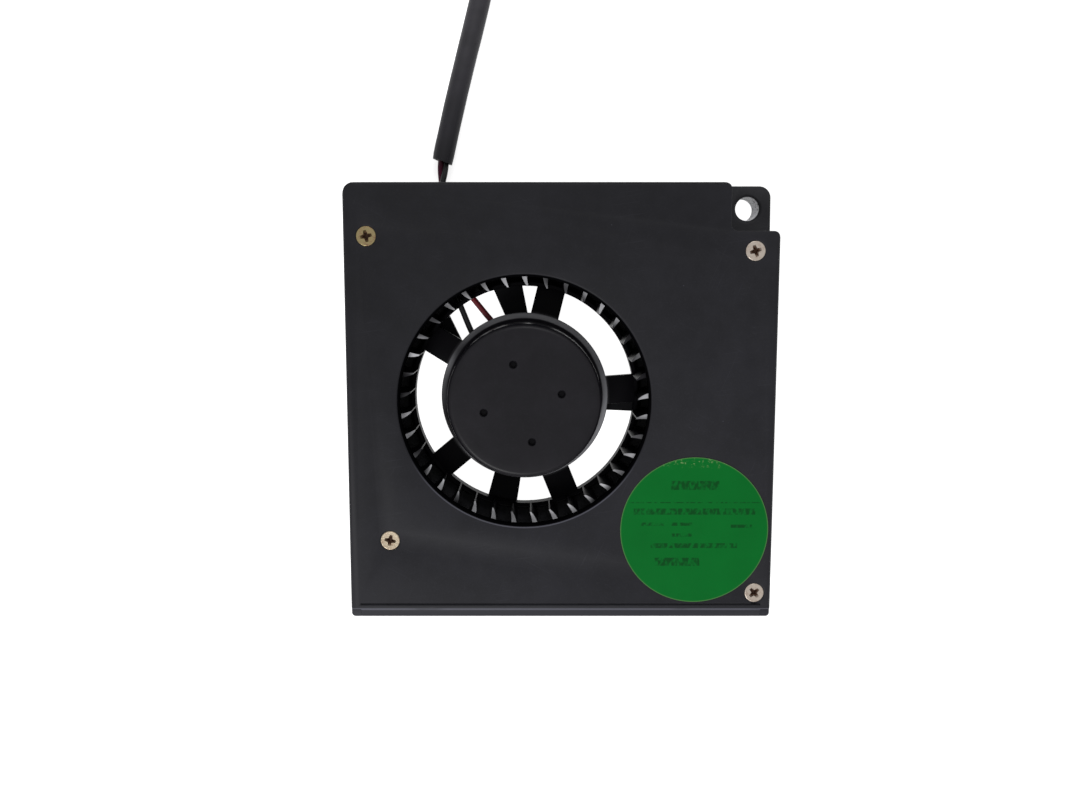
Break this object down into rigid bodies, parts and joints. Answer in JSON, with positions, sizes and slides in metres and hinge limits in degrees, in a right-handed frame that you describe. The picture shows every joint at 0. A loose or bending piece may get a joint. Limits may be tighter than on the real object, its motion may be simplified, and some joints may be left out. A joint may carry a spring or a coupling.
{
  "type": "dc blower fan",
  "caption": "Thin square radial blower with a round inlet on both faces, a curved-blade impeller, one full-width edge outlet and a two-lead cable.",
  "frame": {"origin": "rotor axis on the back face", "axes": "+Z out of the front inlet, +Y towards the cable side, -Y out of the outlet"},
  "size_m": [0.0644, 0.1093, 0.0101],
  "materials": {
    "housing_plastic": "satin",
    "cover_plastic": "satin",
    "screw_nickel": "satin",
    "label_film": "gloss",
    "impeller_plastic": "satin",
    "cup_steel": "satin",
    "magnet_ferrite": "matte",
    "shaft_steel": "polished",
    "bushing_brass": "satin",
    "washer_nylon": "satin",
    "tube_brass": "satin",
    "bearing_bronze": "matte",
    "stator_steel": "satin",
    "insulator_nylon": "satin",
    "winding_copper": "gloss",
    "board_laminate": "satin",
    "chip_epoxy": "matte",
    "capacitor_ceramic": "matte",
    "solder_tin": "satin",
    "lead_red_pvc": "satin",
    "lead_black_pvc": "satin",
    "sleeve_pvc": "satin",
    "tie_plastic": "satin",
    "connector_nylon": "satin",
    "terminal_tin": "satin"
  },
  "bodies": {
    "housing": {"base_housing": "housing_plastic", "top_cover": "cover_plastic", "cover_screws": "screw_nickel", "label": "label_film", "wear_pad": "washer_nylon", "bearing_tube": "tube_brass", "sleeve_bearing": "bearing_bronze", "stator_core": "stator_steel", "upper_insulator": "insulator_nylon", "lower_insulator": "insulator_nylon", "stator_windings": "winding_copper", "circuit_board": "board_laminate", "hall_sensor": "chip_epoxy", "driver_chip": "chip_epoxy", "chip_capacitor": "capacitor_ceramic", "solder_joints": "solder_tin", "lead_red": "lead_red_pvc", "lead_black": "lead_black_pvc", "cable_sleeve": "sleeve_pvc", "cable_coil": "sleeve_pvc", "coil_tie": "tie_plastic", "lead_tail_red": "lead_red_pvc", "lead_tail_black": "lead_black_pvc", "connector_housing": "connector_nylon", "crimp_terminals": "terminal_tin"},
    "rotor": {"impeller": "impeller_plastic", "rotor_cup": "cup_steel", "ring_magnet": "magnet_ferrite", "shaft": "shaft_steel", "rotor_bushing": "bushing_brass", "oil_washer": "washer_nylon", "shaft_clip": "washer_nylon"}
  },
  "joints": [
    {"name": "rotor_spin", "type": "hinge", "parent": "housing", "child": "rotor", "pos_m": [0, 0, 0.004], "axis": [0, 0, -1], "continuous": true}
  ]
}
